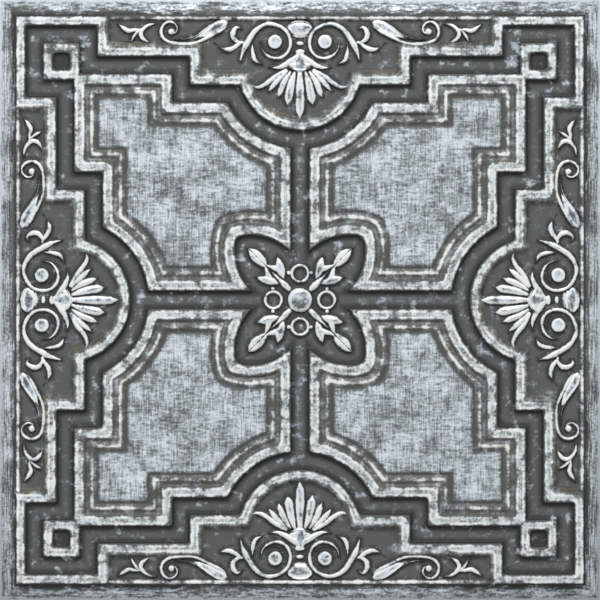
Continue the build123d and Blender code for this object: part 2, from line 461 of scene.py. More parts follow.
@dataclass(frozen=True)
class TilePattern:
    """Lines, heights and walls of the bands, channels, fields, rings and panels."""

    half_side: float
    thickness: float
    flange_width: float = 15.0
    # Heights over the flange's face
    ground: float = 1.5
    band: float = 6.5
    rim: float = 4.6
    groove: float = 4.0
    bead: float = 5.4
    valley: float = 3.6
    plateau: float = 4.6
    ring_floor: float = 2.6
    # Runs of the walls round the bands, and the thin rim's crest
    outer_run: float = 2.1
    channel_run: float = 3.0
    field_run: float = 4.6
    rim_crest: float = 2.4
    rim_inner_run: float = 2.0
    # Widths of bands and channels
    corner_band: float = 8.0
    field_band: float = 9.3
    lunette_band: float = 8.5
    channel_width: float = 19.35
    cross_width: float = 20.1
    cross_crown: float = 0.45
    # Shoulders and lunette of a field
    shoulder_end: float = 109.85
    shoulder_drop: float = 28.6
    lunette_rise: float = 16.0
    lunette_radius: float = 61.3
    # Corner ring
    ring_side: float = 35.1
    ring_hole: float = 19.0
    ring_hole_run: float = 2.6
    ring_lap: float = 4.0
    # Petals round the middle of the tile
    petal_centre: Point = (49.75, 7.85)
    petal_radius: float = 58.5
    # Corner panel, from its band to its plateau
    panel_band: float = 9.5
    groove_run: float = 2.5
    groove_floor: float = 0.6
    bead_run: float = 3.4
    bead_crest: float = 2.2
    valley_run: float = 3.6
    plateau_run: float = 4.0
    # Rounding of corners
    corner_softness: float = 4.2
    petal_softness: float = 9.0
    hole_softness: float = 9.0
    # How far outlines run past the sides of the wedge
    past_middle: float = 2.0
    past_diagonal: float = 12.0

    @property
    def foot_line(self) -> float:
        """Line where the relief rises from the flange."""
        return self.half_side - self.flange_width

    @property
    def channel_line(self) -> float:
        """Outer edge of the channel at the corners."""
        return self.foot_line - self.outer_run - self.corner_band

    @property
    def ring_line(self) -> float:
        """Outer edge of the corner ring."""
        return self.channel_line - self.channel_width

    @property
    def ring_centre(self) -> float:
        """Middle of the corner ring, along X and Y."""
        return self.ring_line - self.ring_side / 2

    @property
    def panel_line(self) -> float:
        """Outer edge of the corner panel."""
        return self.ring_line - self.ring_side + self.ring_lap

    @property
    def field_line(self) -> float:
        """Edge of the channel beside the ends of an ornament field."""
        return self.panel_line + self.channel_width

    @property
    def field_end(self) -> float:
        """Edge of the channel past the end of an ornament field."""
        return self.ring_line - self.ring_side - self.channel_width

    @property
    def shoulder_line(self) -> float:
        """Edge of the channel under the shoulders of an ornament field."""
        return self.field_line - self.shoulder_drop

    @property
    def lunette_centre(self) -> Point:
        """Centre of the round part of an ornament field."""
        return 0.0, self.shoulder_line + self.lunette_rise

    @property
    def cross_end(self) -> float:
        """Outer end of a cross channel, where it meets the channel round the lunette."""
        return self.lunette_centre[1] - self.lunette_radius - self.cross_width

    def cross_crown_ends(self) -> tuple[float, float, float]:
        """Half the width of the crown along a cross channel, and where it starts and ends."""
        half = self.cross_width / 2 - self.channel_run
        return half, self.petal_radius - 2 * half, self.cross_end + half

    def rim_walls(self) -> list[Wall]:
        """Walls of the thin rim, by inset from the foot line."""
        outer_run = self.outer_run * self.rim / self.band
        inner = Wall(outer_run + self.rim_crest, self.rim_inner_run, self.ground - self.rim)
        return [Wall(0.0, outer_run, self.rim), inner]

    def block_wall(self) -> Wall:
        """Outer wall of the bands, by inset from the foot line."""
        return Wall(0.0, self.outer_run, self.band)

    def channel_wall(self) -> Wall:
        """Wall from the outer band down into the channel, by inset into the channel."""
        return Wall(0.0, self.channel_run, 1.0)

    def field_wall(self) -> Wall:
        """Wall from the outer band down into an ornament field, by inset into the field."""
        return Wall(0.0, self.field_run, 1.0)

    def ring_wall(self) -> Wall:
        """Outer wall of a corner ring, by inset into the ring."""
        return Wall(-self.channel_run, self.channel_run, self.band - self.ground)

    def hole_wall(self) -> Wall:
        """Inner wall of a corner ring, by inset into its hole."""
        return Wall(0.0, self.ring_hole_run, self.ring_floor - self.band)

    def panel_walls(self) -> list[Wall]:
        """Walls of a corner panel from its outer band to its plateau, by inset into the panel."""
        groove = Wall(self.panel_band, self.groove_run, self.groove - self.band)
        bead = Wall(groove.start + groove.run + self.groove_floor, self.bead_run, self.bead - self.groove)
        valley = Wall(bead.start + bead.run + self.bead_crest, self.valley_run, self.valley - self.bead)
        plateau = Wall(valley.start + valley.run, self.plateau_run, self.plateau - self.valley)
        return [self.ring_wall(), groove, bead, valley, plateau]

    def lunette(self, radius: float, outward: bool) -> Round:
        """Round stretch about the lunette's centre."""
        return Round(self.lunette_centre, radius, outward)

    def channel_outline(self) -> Outline:
        """Inner edge of the outer band, from the diagonal to the lunette."""
        softness = self.corner_softness
        stretches = (
            Straight((-1, 0), -self.channel_line),
            Straight((0, -1), -self.channel_line),
            Straight((1, 0), self.field_end),
            Straight((0, -1), -self.field_line),
            Straight((1, 0), self.shoulder_end),
            Straight((0, -1), -self.shoulder_line),
            self.lunette(self.lunette_radius, True),
        )
        corners = (
            Corner((self.channel_line, self.channel_line), softness),
            Corner((self.field_end, self.channel_line), softness),
            Corner((self.field_end, self.field_line), softness, True),
            Corner((self.shoulder_end, self.field_line), softness),
            Corner((self.shoulder_end, self.shoulder_line), softness, True),
            Corner((self.lunette_radius, self.shoulder_line), softness),
        )
        start = (self.channel_line, self.channel_line - self.past_diagonal)
        end = (-self.past_middle, self.lunette_centre[1] - self.lunette_radius)
        return Outline(start, end, stretches, corners)

    def field_outline(self) -> Outline:
        """Outer edge of the outer band, round an ornament field, from the foot line to the lunette."""
        softness = self.corner_softness
        end, line = self.field_end - self.field_band, self.field_line + self.field_band
        shoulder_end, shoulder = self.shoulder_end - self.field_band, self.shoulder_line + self.field_band
        lunette_radius = self.lunette_radius - self.lunette_band
        stretches = (
            Straight((-1, 0), -end),
            Straight((0, 1), line),
            Straight((-1, 0), -shoulder_end),
            Straight((0, 1), shoulder),
            self.lunette(lunette_radius, False),
        )
        corners = (
            Corner((end, line), softness),
            Corner((shoulder_end, line), softness, True),
            Corner((shoulder_end, shoulder), softness),
            Corner((lunette_radius, shoulder), softness, True),
        )
        last = (-self.past_middle, self.lunette_centre[1] - lunette_radius)
        return Outline((end, self.foot_line), last, stretches, corners)

    def panel_outline(self) -> Outline:
        """Outer edge of a corner panel, from the diagonal past the lunette and the petal to the diagonal."""
        softness = self.corner_softness
        shoulder = self.shoulder_line - self.channel_width
        shoulder_end = self.shoulder_end + self.channel_width
        cross = self.cross_width / 2
        petal = Round(self.petal_centre, self.petal_radius)
        lunette = self.lunette(self.lunette_radius + self.cross_width, True)
        stretches = (
            Straight((-1, 0), -self.panel_line),
            Straight((0, -1), -self.panel_line),
            Straight((1, 0), shoulder_end),
            Straight((0, -1), -shoulder),
            lunette,
            Straight((1, 0), cross),
            petal,
            Round(self.petal_centre[::-1], self.petal_radius),
        )
        petal_top = self.petal_centre[1] + self.petal_radius
        corners = (
            Corner((self.panel_line, self.panel_line), softness),
            Corner((shoulder_end, self.panel_line), softness),
            Corner((shoulder_end, shoulder), softness, True),
            Corner((lunette.radius, shoulder), softness),
            Corner((cross, lunette.centre[1] - lunette.radius), softness),
            Corner((cross, petal_top - cross), softness),
            Corner((petal_top, petal_top), self.petal_softness, True),
        )
        start = (self.panel_line, self.panel_line - self.past_diagonal)
        return Outline(start, (petal_top, self.petal_centre[0]), stretches, corners)

    def square_lines(
        self, centre: float, half: float, softness: float, insets: list[float]
    ) -> list[list[Point]]:
        """Lines round a square on the diagonal.

        Args:
            centre: place of its middle along X and Y.
            half: half of its side.
            softness: how far from its corners they are rounded.
            insets: insets of the lines.

        Returns:
            One path for each inset.
        """
        low, high = centre - half, centre + half
        sides = (
            Straight((0, 1), low),
            Straight((1, 0), low),
            Straight((0, -1), -high),
            Straight((-1, 0), -high),
        )
        corners = tuple(Corner(near, softness) for near in ((low, low), (low, high), (high, high)))
        outline = Outline((centre, low), (high, centre), sides, corners)
        return [outline.path(inset, half) for inset in insets]


class Relief:
    """Rule of the pressed relief, written as nodes over a place in the wedge."""

    def __init__(self, pattern: TilePattern, bench: Bench, x: Value, y: Value) -> None:
        """Works out the insets that the heights depend on.

        Args:
            pattern: the tile's lines and walls.
            bench: where the nodes go.
            x: place across the wedge.
            y: place along the wedge, towards the edge of the tile.
        """
        self.pattern = pattern
        self.bench = bench
        self.x = x
        self.y = y
        self.edge = pattern.foot_line - bench.highest(x, y)
        self.channel = self.chain(pattern.channel_outline(), False)
        self.field = self.field_inset()
        self.panel = self.chain(pattern.panel_outline(), False)
        centre = pattern.ring_centre
        self.ring = self.square(centre, pattern.ring_side / 2, pattern.corner_softness)
        self.hole = self.square(centre, pattern.ring_hole / 2, pattern.hole_softness)

    def chain(self, outline: Outline, hollow: bool) -> Value:
        """Inset from a chain of stretches.

        Args:
            outline: the chain.
            hollow: whether the corners that join the chain's steps are hollow.

        Returns:
            Inset of the place, positive inside the outline.
        """
        insets = [stretch.inset(self.x, self.y, self.bench.length) for stretch in outline.stretches]
        steps: list[tuple[Number, float]] = [(insets[0], 0.0)]
        for corner, inset in zip(outline.corners, insets[1:], strict=True):
            if corner.hollow != hollow:
                join = self.bench.soft_lowest if hollow else self.bench.soft_highest
                steps[-1] = (join(steps[-1][0], inset, corner.softness), steps[-1][1])
            else:
                steps.append((inset, corner.softness))
        join = self.bench.soft_highest if hollow else self.bench.soft_lowest
        whole = steps[0][0]
        for inset, softness in steps[1:]:
            whole = join(whole, inset, softness)
        return whole

    def field_inset(self) -> Value:
        """Inset into an ornament field, which its hollow corners join."""
        return self.chain(self.pattern.field_outline(), True)

    def square(self, centre: float, half: float, softness: float) -> Value:
        """Inset into a square on the diagonal."""
        return self.bench.soft_lowest(half - abs(self.x - centre), half - abs(self.y - centre), softness)

    def height(self) -> Value:
        """Height of the face over the flange's face."""
        pattern, bench = self.pattern, self.bench
        rim = sum((wall.level(bench, self.edge) for wall in pattern.rim_walls()), 0.0)
        block = pattern.block_wall().level(bench, self.edge)
        block = bench.blend(pattern.field_wall().level(bench, self.field), block, rim)
        floor = bench.blend(pattern.channel_wall().level(bench, self.channel), block, pattern.ground)
        panel = floor + sum((wall.level(bench, self.panel) for wall in pattern.panel_walls()), 0.0)
        wall = pattern.ring_wall()
        ring = bench.blend(bench.step(self.ring, wall.start, wall.start + wall.run), panel, pattern.band)
        return ring + pattern.hole_wall().level(bench, self.hole) + self.cross_crown()

    def cross_crown(self) -> Value:
        """Slight crown along the middle of a cross channel."""
        bench = self.bench
        half, inner, outer = self.pattern.cross_crown_ends()
        across = bench.step(self.x, 0.0, half, self.pattern.cross_crown, 0.0)
        along = bench.step(self.y, inner, inner + half) * bench.step(self.y, outer - half, outer, 1.0, 0.0)
        return across * along


def smooth_path(points: list[Point], spacing: float) -> list[Point]:
    """Smooth line through a few points, as a Catmull-Rom spline.

    Args:
        points: points that the line passes through.
        spacing: largest step along it.

    Returns:
        Its points.
    """
    places = np.array([points[0], *points, points[-1]], float)
    places[0] = 2 * places[1] - places[2]
    places[-1] = 2 * places[-2] - places[-3]
    path = [tuple(places[1])]
    for before, start, end, after in zip(places, places[1:], places[2:], places[3:]):
        count = max(1, math.ceil(float(np.linalg.norm(end - start)) / spacing))
        for share in np.arange(1, count + 1) / count:
            slope = end - before + share * (2 * before - 5 * start + 4 * end - after
                                            + share * (3 * (start - end) + after - before))
            path.append(tuple(start + share * slope / 2))
    return [(float(x), float(y)) for x, y in path]


@dataclass(frozen=True)
class Ridge:
    """Raised strip along a smooth line, with half-widths at even shares of its length.

    The smaller its fullness, the flatter its top. The smaller its taper, the higher it stays where it
    gets narrow. Heights are measured from its middle line, in short steps.
    """

    points: tuple[Point, ...]
    half_widths: tuple[float, ...]
    height: float
    fullness: float = 0.5
    taper: float = 0.5
    measured_step: float = 1.0

    def line(self, spacing: float) -> np.ndarray:
        """Points along its middle."""
        return np.array(smooth_path(list(self.points), spacing))

    def widths(self, line: np.ndarray) -> np.ndarray:
        """Half-width at each point of the middle line."""
        steps = np.linalg.norm(np.diff(line, axis=0), axis=1)
        shares = np.concatenate([[0.0], np.cumsum(steps)]) / steps.sum()
        knots = np.linspace(0.0, 1.0, len(self.half_widths))
        return np.interp(shares, knots, self.half_widths)

    def lines(self, fine: Fineness) -> list[list[Point]]:
        """Lines of the mesh along the strip and beside it.

        Args:
            fine: how closely they follow it.

        Returns:
            The lines.
        """
        line = self.line(fine.ridge_spacing)
        widths = self.widths(line)
        slopes = np.gradient(line, axis=0)
        slopes /= np.linalg.norm(slopes, axis=1)[:, None]
        right = np.stack([slopes[:, 1], -slopes[:, 0]], axis=1)
        reaches = [share * widths for share in fine.ridge_shares]
        reaches += [side * (widths + reach) for reach in fine.halo for side in (-1, 1)]
        return [[tuple(point) for point in line + right * reach[:, None]] for reach in reaches]

    def measure(self, places: np.ndarray) -> tuple[np.ndarray, np.ndarray]:
        """Measures the strip at many places.

        Args:
            places: the places.

        Returns:
            Height over the ground, and distance outside the strip's edge, negative inside.
        """
        line = self.line(self.measured_step)
        widths = self.widths(line)
        rise = np.zeros(len(places))
        gap = np.full(len(places), FAR)
        widest = widths.max()
        for start, end, first, last in zip(line, line[1:], widths, widths[1:]):
            along = end - start
            share = np.clip((places - start) @ along / (along @ along), 0.0, 1.0)
            away = np.linalg.norm(places - start - share[:, None] * along, axis=1)
            width = first + share * (last - first)
            dome = np.clip(1.0 - (away / width) ** 2, 0.0, 1.0) ** self.fullness
            rise = np.maximum(rise, self.height * (width / widest) ** self.taper * dome)
            gap = np.minimum(gap, away - width)
        return rise, gap


@dataclass(frozen=True)
class Turned:
    """Round form, with heights at some radii."""

    centre: Point
    radii: tuple[float, ...]
    heights: tuple[float, ...]
    open_middle: bool = False
    fewest_sides: int = 12

    def lines(self, fine: Fineness) -> list[list[Point]]:
        """Circles of the mesh, one at each radius and beside the form.

        Args:
            fine: how closely they follow it.

        Returns:
            The circles.
        """
        x, y = self.centre
        circles = []
        for radius in (*self.radii, *[self.radii[-1] + reach for reach in fine.halo]):
            if radius > 0:
                count = max(self.fewest_sides, math.ceil(math.tau * radius / fine.ridge_spacing))
                angles = np.linspace(0.0, math.tau, count + 1)
                circle = [(x + radius * math.cos(angle), y + radius * math.sin(angle)) for angle in angles]
                circles.append(circle)
        return circles

    def measure(self, places: np.ndarray) -> tuple[np.ndarray, np.ndarray]:
        """Measures the form at many places.

        Args:
            places: the places.

        Returns:
            Height over the ground, and distance outside the form's edge, negative inside.
        """
        away = np.linalg.norm(places - np.array(self.centre), axis=1)
        gap = away - self.radii[-1]
        if self.open_middle:
            gap = np.maximum(gap, self.radii[1] - away)
        return np.interp(away, self.radii, self.heights), gap


Form = Ridge | Turned


@dataclass(frozen=True)
class Spray:
    """Raised ornament of one field and of the middle of the tile, in the wedge."""

    pattern: TilePattern
    volute_height: float = 4.1
    spray_height: float = 3.6
    leaf_height: float = 4.4

    def from_lunette(self, *points: Point) -> tuple[Point, ...]:
        """Places given from the lunette's centre, moved to the tile's."""
        x, y = self.pattern.lunette_centre
        return tuple((x + across, y + up) for across, up in points)

    def from_end(self, *points: Point) -> tuple[Point, ...]:
        """Places given from the inner corner of the field's end, moved to the tile's."""
        x = self.pattern.field_end - self.pattern.field_band
        y = self.pattern.field_line + self.pattern.field_band
        return tuple((x + across, y + up) for across, up in points)

    def volute(self) -> list[Form]:
        """Scroll beside the bell, its stem, the button in it and the small leaf under its stem."""
        scroll = self.from_lunette(
            (59.8, 8.0), (57.0, 17.5), (51.8, 27.5), (45.6, 37.0), (38.6, 42.4), (30.0, 44.7), (20.1, 42.0),
            (12.5, 35.6), (9.6, 26.0), (11.6, 17.2), (17.6, 11.4), (25.4, 10.1), (33.0, 13.0), (37.9, 18.6),
            (39.3, 25.2),
        )
        leaf = self.from_lunette((48.0, 24.0), (47.3, 14.6), (44.8, 7.8), (38.4, 4.4))
        button = self.from_lunette((25.1, 26.6))[0]
        inner = self.from_lunette((33.6, 16.4), (28.0, 14.4), (21.6, 15.4), (16.6, 19.6))
        return [
            Ridge(scroll, (1.2, 3.7, 3.4, 2.8, 2.5, 2.4, 2.3, 2.3, 2.0, 0.6), self.volute_height),
            Ridge(leaf, (0.8, 2.2, 2.9, 2.5, 0.6), self.volute_height),
            Ridge(inner, (0.3, 0.8, 0.8, 0.3), 1.1),
            Turned(button, (0.0, 3.4, 5.9, 6.8, 7.5, 7.9), (3.6, 3.7, 4.1, 3.6, 1.4, 0.0)),
        ]

    def sprig(self) -> list[Form]:
        """Forked sprig outside the volute."""
        hook = self.from_lunette(
            (57.0, 25.4), (62.6, 26.6), (67.2, 31.0), (66.9, 37.0), (63.2, 41.4), (59.4, 39.6),
        )
        branch = self.from_lunette((58.4, 26.4), (62.4, 23.6), (67.4, 20.2), (73.4, 18.8), (80.2, 20.6))
        return [
            Ridge(hook, (1.4, 2.5, 3.3, 3.4, 2.4, 0.7), self.spray_height),
            Ridge(branch, (1.8, 2.8, 3.2, 2.8, 0.7), self.spray_height),
        ]

    def bell(self) -> list[Form]:
        """Cap, bead and bell on the middle line, and the bell's wing."""
        cap = self.from_lunette((-12.6, 41.4), (0.0, 40.4), (12.6, 41.4))
        cap_waist = self.from_lunette((-10.4, 37.0), (0.0, 36.6), (10.4, 37.0))
        cap_foot = self.from_lunette((-8.0, 33.0), (0.0, 32.8), (8.0, 33.0))
        cap_edge = self.from_lunette((-12.8, 41.8), (-7.8, 45.8), (0.0, 47.2), (7.8, 45.8), (12.8, 41.8))
        top = self.from_lunette((-5.4, 16.6), (0.0, 16.8), (5.4, 16.6))
        body = self.from_lunette((0.0, 13.6), (0.0, 9.0), (0.0, 3.0))
        skirt = self.from_lunette((-12.4, 3.8), (0.0, 2.4), (12.4, 3.8))
        rim = self.from_lunette((-12.2, 1.8), (-6.2, -1.1), (0.0, -2.1), (6.2, -1.1), (12.2, 1.8))
        wing = self.from_lunette((3.0, 11.4), (9.0, 7.4), (16.0, 3.0), (23.0, 0.6), (30.4, 1.0))
        bead = self.from_lunette((-3.6, 25.0), (0.0, 25.0), (3.6, 25.0))
        return [
            Ridge(cap, (0.6, 4.8, 6.4, 7.0, 6.4, 4.8, 0.6), 2.9, 0.35),
            Ridge(cap_waist, (0.6, 3.4, 4.4, 4.6, 4.4, 3.4, 0.6), 2.5, 0.4),
            Ridge(cap_foot, (0.6, 2.4, 2.9, 3.0, 2.9, 2.4, 0.6), 1.2, 0.4),
            Ridge(cap_edge, (0.6, 1.5, 1.7, 1.5, 0.6), 3.9),
            Ridge(top, (0.6, 2.6, 3.2, 2.6, 0.6), 3.1, 0.4),
            Ridge(body, (4.8, 5.6, 6.6, 7.6, 8.2), 3.4, 0.4),
            Ridge(skirt, (0.6, 3.2, 4.2, 4.5, 4.2, 3.2, 0.6), 3.3, 0.4),
            Ridge(rim, (0.6, 1.4, 1.5, 1.4, 0.6), 3.9),
            Ridge(wing, (3.6, 3.8, 3.5, 3.1, 2.1, 0.5), 3.3, 0.6),
            Ridge(bead, (0.6, 2.5, 2.9, 2.5, 0.6), 2.9),
        ]

    def palmette(self) -> list[Form]:
        """Lobes of the fan under the bell."""
        lobes = [
            (((0.0, -1.0), (0.0, -24.0), (0.0, -52.0)), (2.8, 3.8, 4.9, 5.3, 4.9, 0.6)),
            (((5.4, -4.0), (9.0, -16.0), (12.6, -36.0)), (2.2, 3.6, 4.4, 4.9, 5.0, 1.2)),
            (((9.8, -4.0), (16.0, -13.6), (21.8, -28.4)), (2.0, 3.0, 3.6, 3.9, 3.6, 1.0)),
            (((13.0, -3.0), (22.0, -11.8), (31.4, -22.8)), (2.0, 2.8, 3.3, 3.5, 3.0, 0.9)),
            (
                ((14.0, -1.8), (25.0, -8.2), (34.4, -15.6), (42.0, -19.0), (49.0, -17.2)),
                (2.0, 2.9, 3.2, 3.1, 2.6, 0.6),
            ),
        ]
        return [Ridge(self.from_lunette(*points), widths, self.spray_height) for points, widths in lobes]

    def scroll_leaf(self) -> list[Form]:
        """Curled leaf between the volute and the end sprig."""
        curl = self.from_end(
            (-64.6, 14.6), (-68.2, 13.6), (-70.0, 18.4), (-67.2, 23.2), (-61.8, 25.0), (-56.4, 21.8),
            (-53.8, 15.4), (-55.4, 9.4), (-60.4, 5.0), (-67.4, 3.2), (-75.4, 2.4), (-83.4, 2.6), (-91.4, 4.8),
            (-99.4, 8.4), (-107.4, 12.6), (-115.0, 16.4), (-120.6, 20.4),
        )
        club = self.from_end((-86.0, 7.6), (-96.0, 12.4), (-106.6, 18.4), (-114.0, 22.2), (-121.0, 24.6))
        vein = self.from_end((-68.0, 7.2), (-78.0, 7.4), (-88.0, 10.4), (-98.0, 17.0), (-110.0, 25.6))
        blob = self.from_end((-64.2, 14.8))[0]
        return [
            Ridge(curl, (1.4, 1.6, 2.0, 2.3, 2.4, 2.3, 2.2, 2.2, 2.3, 2.4, 0.6), self.spray_height),
            Ridge(club, (0.8, 2.4, 4.0, 5.0, 5.6, 5.8, 5.0, 0.6), 2.9, 0.4),
            Ridge(vein, (0.4, 0.9, 1.1, 1.2, 0.4), 3.6),
            Turned(blob, (0.0, 1.8, 3.1, 4.1), (3.6, 3.2, 1.8, 0.0)),
        ]

    def end_sprig(self) -> list[Form]:
        """Sprig at the end of the field: an arc with two branches."""
        arc = self.from_end(
            (-49.0, 22.9), (-42.0, 21.8), (-37.2, 18.9), (-33.6, 14.4), (-34.3, 9.4), (-37.4, 6.6),
            (-41.4, 4.2),
        )
        long_branch = self.from_end(
            (-33.4, 17.2), (-27.5, 16.8), (-21.4, 15.7), (-16.4, 18.3), (-11.2, 22.2),
        )
        short_branch = self.from_end((-31.6, 16.6), (-27.0, 10.8), (-24.0, 5.0))
        return [
            Ridge(arc, (0.7, 1.9, 2.3, 2.7, 2.9, 2.6, 0.9), self.spray_height),
            Ridge(long_branch, (1.2, 2.4, 2.9, 2.6, 0.7), self.spray_height),
            Ridge(short_branch, (1.4, 2.1, 2.1, 0.8), self.spray_height),
        ]

    def rosette(self) -> list[Form]:
        """Dome, small ring, leaf, barb and spike in the middle of the tile."""
        dome = Turned((0.0, 0.0), (0.0, 5.0, 7.6, 10.0, 11.8, 13.0), (4.6, 4.7, 4.9, 4.2, 2.4, 0.0))
        ring_radii, ring_heights = (0.0, 6.0, 7.0, 8.0, 9.2, 10.3), (0.0, 0.1, 1.6, 3.2, 3.0, 0.0)
        ring = Turned((0.0, 26.7), ring_radii, ring_heights, open_middle=True)
        nubs = [Turned((side * 11.4, 27.2), (0.0, 1.4, 2.7), (3.0, 2.4, 0.0)) for side in (-1, 1)]
        half_lens = ((33.4, 34.5), (37.2, 40.4), (43.0, 46.8), (51.6, 52.0))
        side_lobe = ((16.8, 22.4), (18.8, 28.4), (20.2, 34.0), (21.4, 38.8), (22.8, 43.6))
        barb = ((20.6, 30.8), (25.2, 32.2), (29.6, 33.4), (34.0, 35.2))
        spike = ((11.4, 11.4), (19.0, 19.0), (29.6, 29.6))
        return [
            dome,
            ring,
            *nubs,
            Ridge(half_lens, (1.4, 3.0, 3.6, 3.7, 2.9, 0.5), self.leaf_height, 0.5),
            Ridge(side_lobe, (1.8, 4.0, 4.9, 4.8, 3.0, 0.5), self.leaf_height, 0.5),
            Ridge(barb, (4.2, 3.6, 2.6, 1.2), self.leaf_height - 0.6, 0.6),
            Ridge(spike, (3.4, 4.0, 3.0, 2.0, 1.2, 0.4), 4.9, 0.7),
        ]

    def forms(self) -> list[Form]:
        """Every raised form of the wedge."""
        groups = (
            self.volute(),
            self.sprig(),
            self.bell(),
            self.palmette(),
            self.scroll_leaf(),
            self.end_sprig(),
            self.rosette(),
        )
        return [form for group in groups for form in group]


@dataclass
class SheetBlank:
    """Flat wedge of sheet, meshed along the lines of the pattern and of the ornament.

    A grid of loose points fills the ground from near the ornament to a reach beside it. Points within
    the middle reach of the middle line are put on it, so that mirrored wedges meet without slivers.
    """

    pattern: TilePattern
    spray: Spray
    grid_spacing: float = 3.2
    grid_near: float = 2.8
    grid_reach: float = 9.0
    middle_reach: float = 0.02
    overrun: float = 1.0
    forms: list[Form] = field(init=False)

    def __post_init__(self) -> None:
        """Lists the raised forms once."""
        self.forms = self.spray.forms()

    def paths(self, side: Side) -> list[list[Point]]:
        """Lines that the mesh of one side follows.

        Args:
            side: the side of the sheet.

        Returns:
            The lines, some of which run a little past the wedge.
        """
        fine = FINENESS[side]
        pattern, shares, spacing = self.pattern, fine.wall_shares, fine.arc_spacing
        paths: list[list[Point]] = []
        for outline, walls in (
            (pattern.channel_outline(), [pattern.channel_wall()]),
            (pattern.field_outline(), [pattern.field_wall()]),
            (pattern.panel_outline(), pattern.panel_walls()),
        ):
            paths += [outline.path(inset, spacing) for wall in walls for inset in wall.lines(shares)]
        ring = pattern.ring_wall().lines(shares)
        hole = pattern.hole_wall().lines(shares)
        centre = pattern.ring_centre
        paths += pattern.square_lines(centre, pattern.ring_side / 2, pattern.corner_softness, ring)
        paths += pattern.square_lines(centre, pattern.ring_hole / 2, pattern.hole_softness, hole)
        paths += [self.edge_line(inset, pattern.foot_line) for inset in pattern.block_wall().lines(shares)]
        rim_end = pattern.field_end - pattern.field_band
        for wall in pattern.rim_walls():
            paths += [self.edge_line(inset, rim_end) for inset in wall.lines(shares)]
        half, inner, outer = pattern.cross_crown_ends()
        paths += [[(share * half, inner), (share * half, outer)] for share in (0.0, 0.5, 1.0)]
        for form in self.forms:
            paths += form.lines(fine)
        return paths

    def loose_points(self) -> list[Point]:
        """Even points round the ornament, where the finish fades from it to the ground."""
        ticks = np.arange(0.0, self.pattern.foot_line, self.grid_spacing)
        across, up = (side.ravel() for side in np.meshgrid(ticks, ticks))
        places = np.column_stack([across, up])[up > across]
        gap = self.measure(places)[1]
        return [tuple(place) for place in places[(gap > self.grid_near) & (gap < self.grid_reach)]]

    def edge_line(self, inset: float, end: float) -> list[Point]:
        """Line along the edge of the tile, from the middle to an end."""
        line = self.pattern.foot_line - inset
        return [(-self.overrun, line), (min(end, line + self.overrun), line)]

    def mesh(self, side: Side) -> tuple[np.ndarray, np.ndarray]:
        """Triangles of one side.

        Args:
            side: the side of the sheet.

        Returns:
            Places of the points, and three points for each triangle.
        """
        half = self.pattern.half_side
        places: list[Point] = [(0.0, 0.0), (half, half), (0.0, half)]
        edges: list[tuple[int, int]] = []
        for path in self.paths(side):
            first = len(places)
            places += path
            edges += [(place, place + 1) for place in range(first, len(places) - 1)]
        if side is Side.FACE:
            places += self.loose_points()
        places = [(0.0, y) if abs(x) < self.middle_reach else (x, y) for x, y in places]
        made = delaunay_2d_cdt([Vector(place) for place in places], edges, [(0, 1, 2)], 0, CLOSE, False)
        points = np.array([tuple(place) for place in made[0]])
        triangles = np.array([tuple(triangle) for triangle in made[2]])
        middles = points[triangles].mean(axis=1)
        inside = (middles[:, 0] > 0) & (middles[:, 1] > middles[:, 0]) & (middles[:, 1] < half)
        kept, numbers = np.unique(triangles[inside], return_inverse=True)
        points = points[kept]
        points[np.abs(points[:, 0]) < CLOSE, 0] = 0.0
        on_diagonal = np.abs(points[:, 0] - points[:, 1]) < CLOSE
        points[on_diagonal] = points[on_diagonal].mean(axis=1)[:, None]
        return points, numbers.reshape(-1, 3)

    def measure(self, places: np.ndarray) -> tuple[np.ndarray, np.ndarray]:
        """Measures the raised forms at many places.

        Args:
            places: the places.

        Returns:
            Height over the ground, and distance outside the nearest form's edge, negative inside.
        """
        heights = np.zeros(len(places))
        gaps = np.full(len(places), FAR)
        for form in self.forms:
            rise, gap = form.measure(places)
            heights = np.maximum(heights, rise)
            gaps = np.minimum(gaps, gap)
        return heights, gaps

    def build(self) -> bpy.types.Object:
        """Makes the blank, with both sides of the sheet and the edge between them.

        Returns:
            A flat object whose points know their side and the ornament's height there.
        """
        face, face_triangles = self.mesh(Side.FACE)
        back, back_triangles = self.mesh(Side.BACK)
        places = np.concatenate([face, back])
        flat = np.column_stack([places * MM, np.zeros(len(places))])
        triangles = np.concatenate([face_triangles, back_triangles[:, ::-1] + len(face)])
        mesh = bpy.data.meshes.new("sheet_blank")
        mesh.from_pydata(flat.tolist(), [], triangles.tolist() + self.edge_strip(face, back))
        heights, gaps = self.measure(places)
        on_back = np.repeat([0.0, 1.0], [len(face), len(back)])
        for name, values in (("ornament", heights), ("ornament_gap", gaps), ("is_back", on_back)):
            mesh.attributes.new(name, "FLOAT", "POINT").data.foreach_set("value", values.astype(np.float32))
        log.info("blank: %d face and %d back triangles a wedge", len(face_triangles), len(back_triangles))
        blank = bpy.data.objects.new("pressed_sheet", mesh)
        bpy.context.scene.collection.objects.link(blank)
        return blank

    def edge_strip(self, face: np.ndarray, back: np.ndarray) -> list[tuple[int, ...]]:
        """Faces between the two sides along the edge of the tile.

        Args:
            face: places of the face's points.
            back: places of the back's points.

        Returns:
            The faces, by point numbers in the joined mesh.
        """
        half = self.pattern.half_side
        rows = []
        for places, shift in ((face, 0), (back, len(face))):
            on_edge = np.flatnonzero(np.abs(places[:, 1] - half) < CLOSE)
            rows.append([int(place) + shift for place in on_edge[np.argsort(places[on_edge, 0])]])
        upper, lower = rows
        if len(upper) != len(lower):
            raise ValueError("the two sides have different points on the tile's edge")
        return [(upper[i], upper[i + 1], lower[i + 1], lower[i]) for i in range(len(upper) - 1)]


